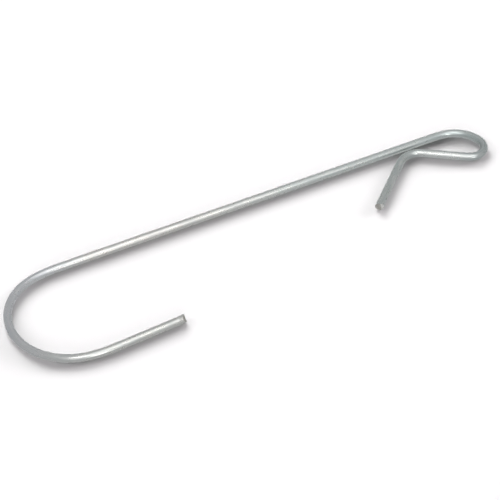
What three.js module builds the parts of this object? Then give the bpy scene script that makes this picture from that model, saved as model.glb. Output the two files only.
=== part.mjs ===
// A hooked wire stake: one length of round galvanised wire, bent flat.
//
// One end of the shank turns back as a wide round hook. The other end is bent into a
// nearly closed teardrop eye, and the last of the wire splays away from the shank as a
// short tail. Every bend lies in one plane, so the stake lies flat on its side.
//
// Millimetres. +X runs along the shank towards the eye, and the hook's leg, the eye and
// the tail all lie on the -Y side of the shank. +Z is up. The origin is on the surface
// that the stake lies on, at the middle of its outline.

import * as THREE from 'three';

// The wire
const WIRE_DIAMETER = 4;
const WIRE_SIDES = 16;
const WIRE_STEP = 2;

// The hook: a straight leg, then a bend that closes slightly past parallel.
const LEG_LENGTH = 43.9;
const HOOK_RADIUS = 29.1;
const HOOK_TURN = 183.6;

// The straight shank between the hook and the eye
const SHANK_LENGTH = 213.3;

// The eye: a gentle crown and a tight nose, then a straight run back to the shank.
const CROWN_RADIUS = 16.9;
const CROWN_TURN = 73;
const NOSE_RADIUS = 7.2;
const NOSE_TURN = 141.1;
const RETURN_LENGTH = 23;

// The tail: the wire kinks the other way beside the shank and runs out straight.
const KINK_RADIUS = 9.9;
const KINK_TURN = 77;
const TAIL_LENGTH = 34.7;

// A bend doesn't start at once: the wire eases into and out of it over these lengths.
const LEG_EASING = 25.5;
const HOOK_EASING = 23.4;
const CROWN_EASING = 9;
const EYE_EASING = 4.3;

// The spacing of the points that the centreline is summed up from
const FINE_STEP = 0.05;

/** A straight stretch. Easing is the length over which the wire changes into it. */
function straight(length, easing = 0) {
  return { length, curvature: 0, easing };
}

/** A round stretch. A positive turn, in degrees, goes clockwise seen from above. */
function bend(radius, turn, easing) {
  const angle = THREE.MathUtils.degToRad(turn);
  return {
    length: radius * Math.abs(angle),
    curvature: -Math.sign(angle) / radius,
    easing,
  };
}

/** The stake's stretches in order, from the hook's tip to the tail's tip. */
function stakeStretches() {
  return [
    straight(LEG_LENGTH),
    bend(HOOK_RADIUS, HOOK_TURN, LEG_EASING),
    straight(SHANK_LENGTH, HOOK_EASING),
    bend(CROWN_RADIUS, CROWN_TURN, CROWN_EASING),
    bend(NOSE_RADIUS, NOSE_TURN, EYE_EASING),
    straight(RETURN_LENGTH, EYE_EASING),
    bend(KINK_RADIUS, -KINK_TURN, EYE_EASING),
    straight(TAIL_LENGTH, EYE_EASING),
  ];
}

/**
 * The centreline of a flat bent wire. Each stretch has its own curvature. Where one
 * stretch meets the next, the curvature changes evenly over the easing length, half of
 * it on either side of the join, which leaves each bend's total turn as stated.
 */
class BentWireCurve extends THREE.Curve {
  constructor(stretches, startHeading) {
    super();
    this.startHeading = startHeading;
    this.joins = [];
    this.wireLength = 0;
    let curvature = 0;
    for (const stretch of stretches) {
      this.joins.push({
        start: this.wireLength - stretch.easing / 2,
        easing: stretch.easing,
        change: stretch.curvature - curvature,
      });
      curvature = stretch.curvature;
      this.wireLength += stretch.length;
    }
    this.points = this.sumPoints();
  }

  /** The direction of the wire at a distance along it, in radians from +X. */
  headingAt(distance) {
    let heading = this.startHeading;
    for (const { start, easing, change } of this.joins) {
      const past = distance - start;
      if (past > 0 && past < easing) {
        heading += change * past * past / (2 * easing);
      } else if (past >= easing) {
        heading += change * (past - easing / 2);
      }
    }
    return heading;
  }

  /** Points at even distances along the wire, summed up from its headings. */
  sumPoints() {
    const count = Math.ceil(this.wireLength / FINE_STEP);
    const step = this.wireLength / count;
    const points = [new THREE.Vector3(0, 0, 0)];
    for (let i = 0; i < count; i += 1) {
      const heading = this.headingAt((i + 0.5) * step);
      const last = points[i];
      points.push(new THREE.Vector3(
        last.x + step * Math.cos(heading),
        last.y + step * Math.sin(heading),
        0,
      ));
    }
    return points;
  }

  getPoint(t, target = new THREE.Vector3()) {
    const place = t * (this.points.length - 1);
    const before = Math.min(Math.floor(place), this.points.length - 2);
    return target.lerpVectors(this.points[before], this.points[before + 1], place - before);
  }

  getTangent(t, target = new THREE.Vector3()) {
    const heading = this.headingAt(t * this.wireLength);
    return target.set(Math.cos(heading), Math.sin(heading), 0);
  }
}

/** The wire's round section, with a corner at its top, its bottom and each side. */
function wireSection() {
  const corners = [];
  for (let i = 0; i < WIRE_SIDES; i += 1) {
    const angle = 2 * Math.PI * i / WIRE_SIDES;
    corners.push(new THREE.Vector2(Math.cos(angle), Math.sin(angle)).multiplyScalar(WIRE_DIAMETER / 2));
  }
  return new THREE.Shape(corners);
}

/** The bent wire, with its outline centred on the origin and its underside at zero height. */
function makeBentWire() {
  // The hook turns clockwise into the shank, which then runs along +X.
  const centreline = new BentWireCurve(stakeStretches(), THREE.MathUtils.degToRad(HOOK_TURN));
  const geometry = new THREE.ExtrudeGeometry(wireSection(), {
    steps: Math.round(centreline.wireLength / WIRE_STEP),
    bevelEnabled: false,
    extrudePath: centreline,
  });
  geometry.computeBoundingBox();
  const middle = geometry.boundingBox.getCenter(new THREE.Vector3());
  geometry.translate(-middle.x, -middle.y, -geometry.boundingBox.min.z);

  const galvanised = new THREE.MeshStandardMaterial({
    color: 0xa8adad,
    roughness: 0.34,
    metalness: 1,
  });
  const wire = new THREE.Mesh(geometry, galvanised);
  wire.name = 'bent_wire';
  return wire;
}

const stake = new THREE.Group();
stake.add(makeBentWire());

export default stake;
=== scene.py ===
"""The looks of the hooked wire stake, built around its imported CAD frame.

The wire is bent by the same steps as the CAD part's, in millimetres, and becomes one fine mesh
in metres: a round section that flattens a little in the tight bends, a slightly uneven zinc
coat, and sheared ends. The zinc and the bare steel of the ends share one procedural material.
"""

import math

import bpy
import numpy as np
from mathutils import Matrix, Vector, noise


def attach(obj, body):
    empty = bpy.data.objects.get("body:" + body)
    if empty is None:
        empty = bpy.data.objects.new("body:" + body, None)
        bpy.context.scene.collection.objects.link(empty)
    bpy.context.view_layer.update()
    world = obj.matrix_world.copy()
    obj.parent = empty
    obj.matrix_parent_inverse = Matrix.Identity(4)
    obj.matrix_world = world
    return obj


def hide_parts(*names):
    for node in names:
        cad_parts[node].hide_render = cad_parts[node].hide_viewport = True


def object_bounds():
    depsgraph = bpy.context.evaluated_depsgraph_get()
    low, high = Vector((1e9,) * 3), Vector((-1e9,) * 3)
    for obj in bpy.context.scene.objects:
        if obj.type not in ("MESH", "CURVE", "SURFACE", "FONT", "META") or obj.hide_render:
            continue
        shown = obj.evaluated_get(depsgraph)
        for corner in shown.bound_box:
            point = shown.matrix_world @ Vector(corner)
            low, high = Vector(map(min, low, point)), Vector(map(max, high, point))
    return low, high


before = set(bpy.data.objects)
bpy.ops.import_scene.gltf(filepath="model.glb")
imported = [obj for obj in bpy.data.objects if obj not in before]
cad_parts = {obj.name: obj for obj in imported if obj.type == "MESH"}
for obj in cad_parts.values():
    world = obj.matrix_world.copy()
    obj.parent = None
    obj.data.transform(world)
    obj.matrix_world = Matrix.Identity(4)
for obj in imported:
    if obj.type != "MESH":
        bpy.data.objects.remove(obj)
cad_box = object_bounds()

MM = 0.001

# ---------------------------------------------------------------- measures

# The wire and its bends, as the CAD part has them: lengths in millimetres, turns in degrees
WIRE_DIAMETER = 4.0
WIRE_RADIUS = WIRE_DIAMETER / 2
LEG_LENGTH = 43.9
HOOK_RADIUS = 29.1
HOOK_TURN = 183.6
SHANK_LENGTH = 213.3
CROWN_RADIUS = 16.9
CROWN_TURN = 73.0
NOSE_RADIUS = 7.2
NOSE_TURN = 141.1
RETURN_LENGTH = 23.0
KINK_RADIUS = 9.9
KINK_TURN = 77.0
TAIL_LENGTH = 34.7
LEG_EASING = 25.5
HOOK_EASING = 23.4
CROWN_EASING = 9.0
EYE_EASING = 4.3

# The fine mesh: the spacing of its rings, and the corners of each
RING_STEP = 0.4
RING_CORNERS = 72
FINE_STEPS = 8

# The tightest bend narrows the wire by these shares of its radius, inside and outside the bend
BEND_FLAT_INSIDE = 0.05
BEND_FLAT_OUTSIDE = 0.025

# How far from each end its pinch fades out along the wire, and the facet's pull on the rings
PINCH_REACH = 4.0
FACET_REACH = 4.0

# The zinc coat: how far its surface wanders, the length and girth of its waves, and the
# smaller ripples on them
COAT_DEPTH = 0.03
COAT_WAVE_LENGTH = 9.0
COAT_WAVE_GIRTH = 2.2
RIPPLE_SHARE = 0.5
RIPPLE_SCALE = 2.3
RIPPLE_SHIFT = Vector((7.0, 3.0, 1.0))

# The zinc's colour at distances along the wire, in millimetres from the hook's tip, set to look
# like the photo from the camera's side. Besides the zinc's tint, their brightness is painted light
# and shade: lighter on the near shank for a painted reflection, darker at the nose for painted
# shade, and dimmer past the return for a fading painted highlight at the kink.
ZINC_TINT_AND_PAINTED_LIGHT = (
    (0.0, (0.59, 0.60, 0.575)),
    (50.0, (0.61, 0.62, 0.60)),
    (74.0, (0.555, 0.57, 0.585)),
    (112.0, (0.57, 0.585, 0.615)),
    (134.0, (0.635, 0.66, 0.69)),
    (162.0, (0.69, 0.68, 0.655)),
    (205.0, (0.67, 0.66, 0.635)),
    (270.0, (0.62, 0.66, 0.645)),
    (336.0, (0.61, 0.665, 0.655)),
    (362.0, (0.51, 0.57, 0.565)),
    (378.0, (0.36, 0.415, 0.415)),
    (386.0, (0.45, 0.50, 0.50)),
    (398.0, (0.64, 0.67, 0.66)),
    (408.0, (0.61, 0.645, 0.635)),
    (417.0, (0.49, 0.535, 0.525)),
    (460.0, (0.46, 0.50, 0.49)),
)

# What is mixed into the zinc's colour, and the steel of the cut faces
# Painted shade for the inside of the tightest bend, where the wire would mirror the dark inside of
# the eye
BEND_SHADE_ZINC = (0.26, 0.29, 0.29, 1)
CLOUD_ZINC = (0.44, 0.48, 0.50, 1)
STREAK_ZINC = (0.80, 0.79, 0.77, 1)
GRAIN_ZINC = (0.45, 0.47, 0.48, 1)
RUBBED_ZINC = (0.78, 0.78, 0.76, 1)
SMEARED_ZINC = (0.80, 0.80, 0.78, 1)
DARK_STEEL = (0.44, 0.43, 0.40, 1)
LIGHT_STEEL = (0.60, 0.59, 0.56, 1)

# The zinc's roughness and what the grain and the bare steel add to it
ZINC_ROUGHNESS = (0.26, 0.30)
GRAIN_ROUGHNESS = 0.01
STEEL_ROUGHNESS = 0.22

# The finest relief, in metres, too fine for the mesh
DRAW_MARK_DEPTH = 0.000003
GRAIN_DEPTH = 0.000001
BUMP_STRENGTH = 0.5

# The camera looks at a point a little off the middle of the outline
VIEW_AZIMUTH = -27.02
VIEW_ELEVATION = 44.0
VIEW_DISTANCE = 1.18626
VIEW_AIM = Vector((-0.00769, -0.00065, 0.002))
VIEW_LENS = 180.43
SENSOR_WIDTH = 36.0
NEAREST_SEEN = 0.05

# The floor's reach from the origin and its grey, and how far the lights for it stand off
FLOOR_REACH = 3.0
FLOOR_GREY = 0.50
FLOOR_LIGHT_DISTANCE = 6.0

# The glow that the wire mirrors, straight down and from the horizon up
GLOW_BELOW = 0.58
GLOW_AROUND = 0.61


# ---------------------------------------------------------------- the centreline


def straight(length, easing=0.0):
    """A straight stretch: its length, its curvature and its easing, the length over which
    the wire changes into it."""
    return length, 0.0, easing


def bend(radius, turn, easing):
    """A round stretch. A positive turn goes clockwise seen from above."""
    return radius * abs(math.radians(turn)), -math.copysign(1.0 / radius, turn), easing


STRETCHES = [
    straight(LEG_LENGTH),
    bend(HOOK_RADIUS, HOOK_TURN, LEG_EASING),
    straight(SHANK_LENGTH, HOOK_EASING),
    bend(CROWN_RADIUS, CROWN_TURN, CROWN_EASING),
    bend(NOSE_RADIUS, NOSE_TURN, EYE_EASING),
    straight(RETURN_LENGTH, EYE_EASING),
    bend(KINK_RADIUS, -KINK_TURN, EYE_EASING),
    straight(TAIL_LENGTH, EYE_EASING),
]
WIRE_LENGTH = sum(length for length, _, _ in STRETCHES)


def headings_and_curvatures(distances):
    """The wire's direction, in radians from +X, and its curvature at distances along it."""
    headings = np.full(distances.shape, math.radians(HOOK_TURN))
    curvatures = np.zeros(distances.shape)
    start = 0.0
    before = 0.0
    for length, curvature, easing in STRETCHES:
        past = distances - (start - easing / 2)
        if easing:
            eased = np.clip(past, 0.0, easing)
            turned = eased * eased / (2 * easing) + np.maximum(past - easing, 0.0)
            share = eased / easing
        else:
            turned = np.maximum(past, 0.0)
            share = (past >= 0.0).astype(float)
        headings += (curvature - before) * turned
        curvatures += (curvature - before) * share
        start += length
        before = curvature
    return headings, curvatures


def centreline():
    """Even distances along the wire, with the point, heading and curvature at each."""
    count = math.ceil(WIRE_LENGTH / RING_STEP)
    step = WIRE_LENGTH / (count * FINE_STEPS)
    middles = (np.arange(count * FINE_STEPS) + 0.5) * step
    headings, _ = headings_and_curvatures(middles)
    moves = step * np.stack([np.cos(headings), np.sin(headings)], axis=1)
    points = np.vstack([np.zeros((1, 2)), np.cumsum(moves, axis=0)])[::FINE_STEPS]
    distances = np.linspace(0.0, WIRE_LENGTH, count + 1)
    headings, curvatures = headings_and_curvatures(distances)
    middle = (points.min(axis=0) + points.max(axis=0)) / 2
    cad_middle = (np.array(cad_box[0]) + np.array(cad_box[1]))[:2] / 2 / MM
    return distances, points - middle + cad_middle, headings, curvatures


# ---------------------------------------------------------------- the wire's mesh


def clamped(value):
    return min(max(value, 0.0), 1.0)


def coat_depth(distance, across, up):
    """How far the zinc's surface lies below the wire's full radius, in millimetres."""
    spot = Vector((distance / COAT_WAVE_LENGTH, across / COAT_WAVE_GIRTH, up / COAT_WAVE_GIRTH))
    ripple = noise.noise(spot * RIPPLE_SCALE + RIPPLE_SHIFT)
    wave = noise.noise(spot) + RIPPLE_SHARE * ripple
    return COAT_DEPTH * clamped(0.5 + 0.5 * wave)


class CutEnd:
    """How one end of the wire was pinched and sheared, in millimetres.

    Turns round the section are in degrees, from the left of the wire walking out of the end,
    towards the top. The metal spread out on the side of the ear: +1 is that left, -1 the right.
    The blade left a slanting facet where it came in, on the side the facet's turn points to.
    """

    def __init__(self, ear, thin, spread, slant, facet_turn, facet_from, facet_slope, zinc):
        self.ear = ear
        self.thin = thin
        self.spread = spread
        self.slant = slant
        self.facet_turn = math.radians(facet_turn)
        self.facet_from = facet_from
        self.facet_slope = facet_slope
        self.zinc = zinc

    def pinch(self, to_end):
        """How much of the pinch is there, 0 to 1, at a distance from the end."""
        share = clamped(1.0 - to_end / PINCH_REACH)
        return share * share * (3 - 2 * share)


# The hook's tip is nipped from above; the tail's end is sheared from its side, dragging zinc
HOOK_CUT = CutEnd(
    ear=1, thin=0.12, spread=0.30, slant=0.20,
    facet_turn=130, facet_from=0.20, facet_slope=1.15, zinc=0.0,
)
TAIL_CUT = CutEnd(
    ear=1, thin=0.06, spread=0.36, slant=0.10,
    facet_turn=15, facet_from=0.45, facet_slope=0.65, zinc=1.0,
)

# The face's rings, as shares of the section's size, and the ring just behind its rim
FACE_RINGS = (1.0, 0.985, 0.96, 0.92, 0.86, 0.79, 0.71, 0.62, 0.52, 0.41, 0.28, 0.14)
LAST_RING_GAP = 0.08

# The face's relief: the burr and the worn edge, each as a height and the share of the radius
# where it starts, then the torn part, its depth, its roughness and how it fades out
BURR = 0.07
BURR_START = 0.85
RIM_WEAR = 0.07
RIM_WEAR_START = 0.93
TORN_DEPTH = 0.07
TORN_ROUGHNESS = 0.06
TORN_FADE = 0.3
TORN_EDGE = 0.97
TORN_EDGE_FADE = 0.2
COARSE_TEAR = 1.8
FINE_TEAR = 4.5
FINE_TEAR_SHARE = 0.4
FACET_EDGE = 0.08


def pinched(cut, pinch, outward, across, up):
    """A corner of the section moved by the cutter."""
    towards_ear = max(0.0, cut.ear * outward * across / WIRE_RADIUS)
    flatter = 1.0 - cut.thin * pinch / WIRE_RADIUS
    return across + cut.ear * outward * cut.spread * pinch * towards_ear, up * flatter


def face_point(cut, across, up):
    """How far a point of the cut face lies out of a square cut, and whether it is the facet's.

    The face is torn away from the facet, with a small burr at its far rim.
    """
    towards = across * math.cos(cut.facet_turn) + up * math.sin(cut.facet_turn)
    towards /= WIRE_RADIUS
    edge = math.hypot(across, up) / WIRE_RADIUS
    facet = max(0.0, towards - cut.facet_from)
    out = -0.5 * cut.slant * (1 + towards) - cut.facet_slope * facet * WIRE_RADIUS
    rim = clamped((edge - BURR_START) / (1 - BURR_START))
    out += BURR * max(0.0, -towards) ** 2 * rim ** 2
    out -= RIM_WEAR * clamped((edge - RIM_WEAR_START) / (1 - RIM_WEAR_START)) ** 2
    torn = clamped((cut.facet_from - towards) / TORN_FADE)
    torn *= clamped((TORN_EDGE - edge) / TORN_EDGE_FADE)
    rough = noise.noise(Vector((across * COARSE_TEAR, up * COARSE_TEAR, 4.0)))
    rough += FINE_TEAR_SHARE * noise.noise(Vector((across * FINE_TEAR, up * FINE_TEAR, 9.0)))
    out -= torn * (TORN_DEPTH + TORN_ROUGHNESS * rough)
    return out, clamped(facet / FACET_EDGE)


def face_ring(cut, rim, share):
    """One ring of a cut face. Each point is left across the end, up and out, then how bare its
    steel is and how smeared with zinc."""
    ring = []
    for across, up in rim:
        out, facet = face_point(cut, across * share, up * share)
        smeared = facet * cut.zinc
        bare = 0.0 if share == 1.0 else 1.0 - smeared
        ring.append((across * share, up * share, out, bare, smeared))
    return ring


def rim_pull(cut, section, outward):
    """How far each corner of the end section lies forward along the wire, on the face's rim."""
    rim = [(across * outward, up) for across, up in section]
    return [out * outward for _, _, out, _, _ in face_ring(cut, rim, 1.0)]


def faded(pull, to_end):
    """How far the corners of a ring near an end are pulled along by the face's rim."""
    share = clamped(1.0 - to_end / FACET_REACH)
    return [forward * share for forward in pull]


def ring_offsets(distance, curvature):
    """The corners of the section at a distance along the wire, left across it and up."""
    tight = min(abs(curvature) * NOSE_RADIUS, 1.0)
    hook_pinch = HOOK_CUT.pinch(distance)
    tail_pinch = TAIL_CUT.pinch(WIRE_LENGTH - distance)
    offsets = []
    for i in range(RING_CORNERS):
        angle = 2 * math.pi * i / RING_CORNERS
        across = WIRE_RADIUS * math.cos(angle)
        up = WIRE_RADIUS * math.sin(angle)
        shrink = 1.0 - coat_depth(distance, across, up) / WIRE_RADIUS
        flat = BEND_FLAT_INSIDE if across * curvature > 0 else BEND_FLAT_OUTSIDE
        across *= shrink * (1.0 - flat * tight)
        up *= shrink
        if hook_pinch:
            across, up = pinched(HOOK_CUT, hook_pinch, -1, across, up)
        if tail_pinch:
            across, up = pinched(TAIL_CUT, tail_pinch, 1, across, up)
        offsets.append((across, up))
    return offsets


class Skin:
    """The rings of points that the wire's mesh is made of, with what the zinc shows at each."""

    def __init__(self):
        self.verts = []
        self.places = []
        self.marks = {"bare_steel": [], "smeared": [], "bend_shade_mark": []}
        self.rings = []

    def add_ring(self, distance, point, heading, curvature, offsets):
        """One ring of points: left across the wire, up, forward along it, bare and smeared.

        Each point also gets a bend mark, up to 1 inside the tightest bend and as far below 0
        outside it, which places the painted shade on the bend's inside.
        """
        along = Vector((math.cos(heading), math.sin(heading)))
        left = Vector((-along.y, along.x))
        first = len(self.verts)
        for across, up, forward, bare, smeared in offsets:
            flat = Vector(point) + left * across + along * forward
            self.verts.append((flat.x * MM, flat.y * MM, (WIRE_RADIUS + up) * MM))
            self.places.append((distance + forward, across, up))
            self.marks["bare_steel"].append(bare)
            self.marks["smeared"].append(smeared)
            # Marks the inside of the tightest bend, where the material paints shade
            self.marks["bend_shade_mark"].append(across / WIRE_RADIUS * curvature * NOSE_RADIUS)
        self.rings.append(range(first, len(self.verts)))

    def add_face(self, cut, distance, point, heading, section, outward):
        """A cut face's rings, from the middle out for the hook's end, inwards for the tail's."""
        rim = [(across * outward, up) for across, up in section]
        last = [(a, u, out - LAST_RING_GAP, 0.0, 0.0) for a, u, out, *_ in face_ring(cut, rim, 1.0)]
        face = [last] + [face_ring(cut, rim, share) for share in FACE_RINGS]
        for ring in face[::outward]:
            offsets = [(a * outward, u, out * outward, *marks) for a, u, out, *marks in ring]
            self.add_ring(distance, point, heading, 0.0, offsets)

    def faces(self):
        """Four-sided faces between the rings, and one face over the middle of each end."""
        faces = []
        for ring, following in zip(self.rings, self.rings[1:]):
            for j in range(RING_CORNERS):
                k = (j + 1) % RING_CORNERS
                faces.append((ring[j], ring[k], following[k], following[j]))
        faces.append(tuple(reversed(self.rings[0])))
        faces.append(tuple(self.rings[-1]))
        return faces

    def mesh(self, name):
        mesh = bpy.data.meshes.new(name)
        mesh.from_pydata(self.verts, [], self.faces())
        place = mesh.attributes.new("wire_place", "FLOAT_VECTOR", "POINT")
        place.data.foreach_set("vector", np.array(self.places, np.float32).ravel())
        for mark, values in self.marks.items():
            attribute = mesh.attributes.new(mark, "FLOAT", "POINT")
            attribute.data.foreach_set("value", np.array(values, np.float32))
        mesh.polygons.foreach_set("use_smooth", [True] * len(mesh.polygons))
        return mesh


def make_wire():
    """The whole wire as one closed mesh, with each point's place along and around the wire."""
    distances, points, headings, curvatures = centreline()
    sections = [ring_offsets(s, k) for s, k in zip(distances, curvatures)]
    hook_pull = rim_pull(HOOK_CUT, sections[0], -1)
    tail_pull = rim_pull(TAIL_CUT, sections[-1], 1)

    skin = Skin()
    skin.add_face(HOOK_CUT, distances[0], points[0], headings[0], sections[0], -1)
    for i in range(1, len(distances) - 1):
        near_hook = faded(hook_pull, distances[i])
        near_tail = faded(tail_pull, WIRE_LENGTH - distances[i])
        corners = zip(sections[i], near_hook, near_tail)
        section = [(a, u, h + t, 0.0, 0.0) for (a, u), h, t in corners]
        skin.add_ring(distances[i], points[i], headings[i], curvatures[i], section)
    skin.add_face(TAIL_CUT, distances[-1], points[-1], headings[-1], sections[-1], 1)

    wire = bpy.data.objects.new("bent_wire_fine", skin.mesh("bent_wire_fine"))
    bpy.context.scene.collection.objects.link(wire)
    return wire


# ---------------------------------------------------------------- materials


class Nodes:
    """A short way to write one material's nodes and links."""

    def __init__(self, name):
        self.material = bpy.data.materials.new(name)
        self.material.use_nodes = True
        self.tree = self.material.node_tree
        self.bsdf = self.tree.nodes["Principled BSDF"]

    def link(self, source, target):
        """Links an output, or sets a plain number or colour."""
        if isinstance(source, (int, float, tuple)):
            target.default_value = source
        else:
            self.tree.links.new(source, target)

    def attribute(self, name, output="Vector"):
        node = self.tree.nodes.new("ShaderNodeAttribute")
        node.attribute_name = name
        return node.outputs[output]

    def stretch(self, vector, scale, shift=(0.0, 0.0, 0.0)):
        node = self.tree.nodes.new("ShaderNodeMapping")
        self.link(vector, node.inputs["Vector"])
        node.inputs["Scale"].default_value = scale
        node.inputs["Location"].default_value = shift
        return node.outputs["Vector"]

    def noise(self, vector, detail=1.0, roughness=0.5):
        node = self.tree.nodes.new("ShaderNodeTexNoise")
        self.link(vector, node.inputs["Vector"])
        node.inputs["Scale"].default_value = 1.0
        node.inputs["Detail"].default_value = detail
        node.inputs["Roughness"].default_value = roughness
        return node.outputs["Fac"]

    def math(self, operation, a, b):
        node = self.tree.nodes.new("ShaderNodeMath")
        node.operation = operation
        self.link(a, node.inputs[0])
        self.link(b, node.inputs[1])
        return node.outputs[0]

    def span(self, value, low, high, to_low=0.0, to_high=1.0):
        """Carries a range of values over to another range, smoothly and without overshoot."""
        node = self.tree.nodes.new("ShaderNodeMapRange")
        node.interpolation_type = "SMOOTHSTEP"
        self.link(value, node.inputs["Value"])
        node.inputs["From Min"].default_value = low
        node.inputs["From Max"].default_value = high
        node.inputs["To Min"].default_value = to_low
        node.inputs["To Max"].default_value = to_high
        return node.outputs["Result"]

    def mix(self, share, a, b):
        """Colour a where the share is 0, and colour b where it is 1."""
        node = self.tree.nodes.new("ShaderNodeMix")
        node.data_type = "RGBA"
        self.link(share, node.inputs["Factor"])
        self.link(a, node.inputs[6])
        self.link(b, node.inputs[7])
        return node.outputs[2]

    def bump(self, height, distance, normal=None):
        node = self.tree.nodes.new("ShaderNodeBump")
        node.inputs["Strength"].default_value = BUMP_STRENGTH
        node.inputs["Distance"].default_value = distance
        self.link(height, node.inputs["Height"])
        if normal is not None:
            self.link(normal, node.inputs["Normal"])
        return node.outputs["Normal"]


def zinc_tint_and_painted_light(n, place):
    """The zinc's tint along the wire, with painted light and shade in its brightness: neutral by
    the hook's leg, bluish round the hook, warm and lighter on the near half of the shank, greener
    towards the eye, darker at the tightest bend for painted shade, and dimmer at the kink for a
    fading painted highlight."""
    apart = n.tree.nodes.new("ShaderNodeSeparateXYZ")
    n.link(place, apart.inputs[0])
    ramp = n.tree.nodes.new("ShaderNodeValToRGB")
    n.link(n.math("DIVIDE", apart.outputs["X"], WIRE_LENGTH), ramp.inputs["Fac"])
    elements = ramp.color_ramp.elements
    elements.remove(elements[0])
    elements[0].position = 0.0
    elements[0].color = (*ZINC_TINT_AND_PAINTED_LIGHT[0][1], 1)
    for distance, tone in ZINC_TINT_AND_PAINTED_LIGHT[1:]:
        elements.new(distance / WIRE_LENGTH).color = (*tone, 1)
    return ramp.outputs["Color"]


def zinc_material():
    """Satin zinc on drawn wire, with the bare sheared steel of the ends, and painted light and
    shade in its colour along the wire and inside the tightest bend.
    """
    n = Nodes("galvanised_wire")
    place = n.attribute("wire_place")
    bare = n.attribute("bare_steel", "Fac")

    # The noises' scales are in cycles per millimetre, along the wire and then across it
    clouds = n.noise(n.stretch(place, (0.16, 0.50, 0.50)))
    grain = n.noise(n.stretch(place, (0.9, 2.2, 2.2), (5.0, 2.0, 8.0)), detail=3.0, roughness=0.6)
    streaks = n.noise(n.stretch(place, (0.05, 1.6, 1.6), (1.0, 9.0, 4.0)))
    rubs = n.noise(n.stretch(place, (0.12, 0.45, 0.45), (3.0, 6.0, 2.0)))

    # The zinc's tint along the wire, with painted light and shade in its brightness
    zinc = zinc_tint_and_painted_light(n, place)
    # Painted shade on the inside of the tightest bend, where the wire would mirror the shade inside
    # the eye
    painted_bend_shade = n.span(n.attribute("bend_shade_mark", "Fac"), 0.35, 1.0, 0.0, 0.6)
    zinc = n.mix(painted_bend_shade, zinc, BEND_SHADE_ZINC)
    zinc = n.mix(n.span(clouds, 0.34, 0.66, 0.30, 0.0), zinc, CLOUD_ZINC)
    zinc = n.mix(n.span(streaks, 0.38, 0.62, 0.0, 0.22), zinc, STREAK_ZINC)
    zinc = n.mix(n.span(grain, 0.38, 0.60, 0.05, 0.0), zinc, GRAIN_ZINC)
    zinc = n.mix(n.span(rubs, 0.58, 0.68, 0.0, 0.25), zinc, RUBBED_ZINC)
    zinc = n.mix(n.attribute("smeared", "Fac"), zinc, SMEARED_ZINC)
    steel = n.mix(n.span(grain, 0.35, 0.65), DARK_STEEL, LIGHT_STEEL)
    n.link(n.mix(bare, zinc, steel), n.bsdf.inputs["Base Color"])

    dull = n.span(clouds, 0.30, 0.70, ZINC_ROUGHNESS[1], ZINC_ROUGHNESS[0])
    dull = n.math("ADD", dull, n.span(grain, 0.35, 0.65, 0.0, GRAIN_ROUGHNESS))
    dull = n.math("ADD", dull, n.math("MULTIPLY", bare, STEEL_ROUGHNESS))
    n.link(dull, n.bsdf.inputs["Roughness"])

    relief = n.bump(streaks, DRAW_MARK_DEPTH)
    relief = n.bump(grain, GRAIN_DEPTH, relief)
    n.link(relief, n.bsdf.inputs["Normal"])
    n.bsdf.inputs["Metallic"].default_value = 1.0
    return n.material


def floor_material():
    n = Nodes("studio_floor")
    n.bsdf.inputs["Base Color"].default_value = (FLOOR_GREY, FLOOR_GREY, FLOOR_GREY, 1)
    n.bsdf.inputs["Roughness"].default_value = 1.0
    n.bsdf.inputs["Specular IOR Level"].default_value = 0.0
    return n.material


# ---------------------------------------------------------------- floor, light and camera


def make_floor():
    far = FLOOR_REACH
    corners = [(-far, -far, 0), (far, -far, 0), (far, far, 0), (-far, far, 0)]
    mesh = bpy.data.meshes.new("floor")
    mesh.from_pydata(corners, [], [(0, 1, 2, 3)])
    mesh.materials.append(floor_material())
    floor = bpy.data.objects.new("floor", mesh)
    floor.location.z = cad_box[0][2]
    floor.visible_glossy = False
    bpy.context.scene.collection.objects.link(floor)
    return floor


def from_view(right, away, up):
    """A direction or place given as the camera sees the floor: right, away from it and up."""
    turn = math.radians(VIEW_AZIMUTH)
    return Vector((
        right * math.cos(turn) - away * math.sin(turn),
        right * math.sin(turn) + away * math.cos(turn),
        up,
    ))


def aim(thing, place, target):
    thing.location = place
    thing.rotation_euler = (target - place).to_track_quat("-Z", "Y").to_euler()


def softbox(name, place, width, height, glow, receiver, colour=(1.0, 1.0, 1.0)):
    """A soft light aimed at the stake that lights one thing only. Glow is its radiance."""
    light = bpy.data.lights.new(name, "AREA")
    light.shape = "RECTANGLE"
    light.size = width
    light.size_y = height
    light.energy = glow * math.pi * width * height
    light.color = colour
    lamp = bpy.data.objects.new(name, light)
    lamp.visible_camera = False
    lit = bpy.data.collections.new(name + "_lights")
    lit.objects.link(receiver)
    lamp.light_linking.receiver_collection = lit
    bpy.context.scene.collection.objects.link(lamp)
    aim(lamp, place, Vector((0.0, 0.0, 0.0)))


def around(azimuth, elevation):
    """A far place by its bearing, counted from the right of the view, and its height angle."""
    turn = math.radians(azimuth)
    rise = math.radians(elevation)
    level = FLOOR_LIGHT_DISTANCE * math.cos(rise)
    height = FLOOR_LIGHT_DISTANCE * math.sin(rise)
    return from_view(level * math.cos(turn), level * math.sin(turn), height)


def overhead(right, elevation):
    """A place a metre off on an arch over the stake, from in front of it up and over."""
    rise = math.radians(elevation)
    return from_view(right, -math.cos(rise), math.sin(rise))


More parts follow.
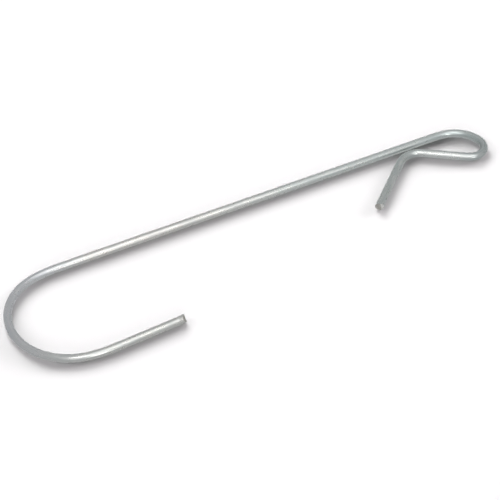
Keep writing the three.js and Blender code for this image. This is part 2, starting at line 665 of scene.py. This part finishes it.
def make_lights(wire, floor):
    """Softboxes near the camera for the wire's glints, and a far ring of larger ones that
    throw its shadow on the floor. They are tuned to look like the photo from the camera's
    side, and aren't the lamps that lit it."""
    warm = (1.0, 0.985, 0.965)
    softbox("glint_camera", overhead(0.10, 56), 0.35, 0.31, 3.6, wire, warm)
    softbox("glint_right", overhead(0.55, 64), 0.25, 0.60, 2.1, wire, warm)
    softbox("glint_low", overhead(0.55, 20), 0.25, 0.31, 5.6, wire, warm)
    softbox("glint_top", overhead(0.20, 92), 0.50, 0.31, 1.15, wire, warm)
    softbox("glint_front", overhead(0.0, 24), 0.25, 0.31, 1.1, wire, warm)
    faint_pink = (1.0, 0.965, 0.99)
    softbox("floor_key", around(110, 27), 3.0, 2.1, 20.5, floor)
    softbox("floor_wide", around(110, 25), 7.5, 2.7, 6.0, floor)
    softbox("floor_high", around(112, 46), 3.9, 3.0, 4.9, floor)
    softbox("floor_right", around(35, 14), 4.2, 2.1, 23.5, floor, faint_pink)
    softbox("floor_left", around(183, 25), 3.0, 3.6, 9.0, floor, faint_pink)
    softbox("floor_front", around(-95, 14), 3.6, 2.1, 15.5, floor, faint_pink)


def make_world():
    """Even grey all round for the wire to mirror, a little darker below, where it would see
    its own shadow. It lights nothing but reflections."""
    world = bpy.data.worlds.new("studio")
    world.use_nodes = True
    nodes = world.node_tree.nodes
    links = world.node_tree.links
    background = nodes["Background"]
    background.inputs["Color"].default_value = (1.0, 1.0, 1.0, 1)
    place = nodes.new("ShaderNodeTexCoord")
    apart = nodes.new("ShaderNodeSeparateXYZ")
    links.new(place.outputs["Generated"], apart.inputs[0])
    shade = nodes.new("ShaderNodeMapRange")
    shade.inputs["From Min"].default_value = -1.0
    shade.inputs["From Max"].default_value = 0.0
    shade.inputs["To Min"].default_value = GLOW_BELOW
    shade.inputs["To Max"].default_value = GLOW_AROUND
    links.new(apart.outputs["Z"], shade.inputs["Value"])
    links.new(shade.outputs["Result"], background.inputs["Strength"])
    bpy.context.scene.world = world
    world.cycles_visibility.diffuse = False


def make_camera():
    data = bpy.data.cameras.new("camera")
    data.lens = VIEW_LENS
    data.sensor_width = SENSOR_WIDTH
    data.clip_start = NEAREST_SEEN
    camera = bpy.data.objects.new("camera", data)
    bpy.context.scene.collection.objects.link(camera)
    low, high = Vector(cad_box[0]), Vector(cad_box[1])
    target = Vector(((low.x + high.x) / 2, (low.y + high.y) / 2, low.z)) + VIEW_AIM
    level = math.radians(VIEW_ELEVATION)
    back = from_view(0.0, -math.cos(level), math.sin(level))
    aim(camera, target + back * VIEW_DISTANCE, target)
    bpy.context.scene.camera = camera


# ---------------------------------------------------------------- the scene

wire = make_wire()
wire.data.materials.append(zinc_material())
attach(wire, "root")
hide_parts("bent_wire")

make_lights(wire, make_floor())
make_world()
make_camera()
bpy.context.scene.view_settings.view_transform = "Standard"
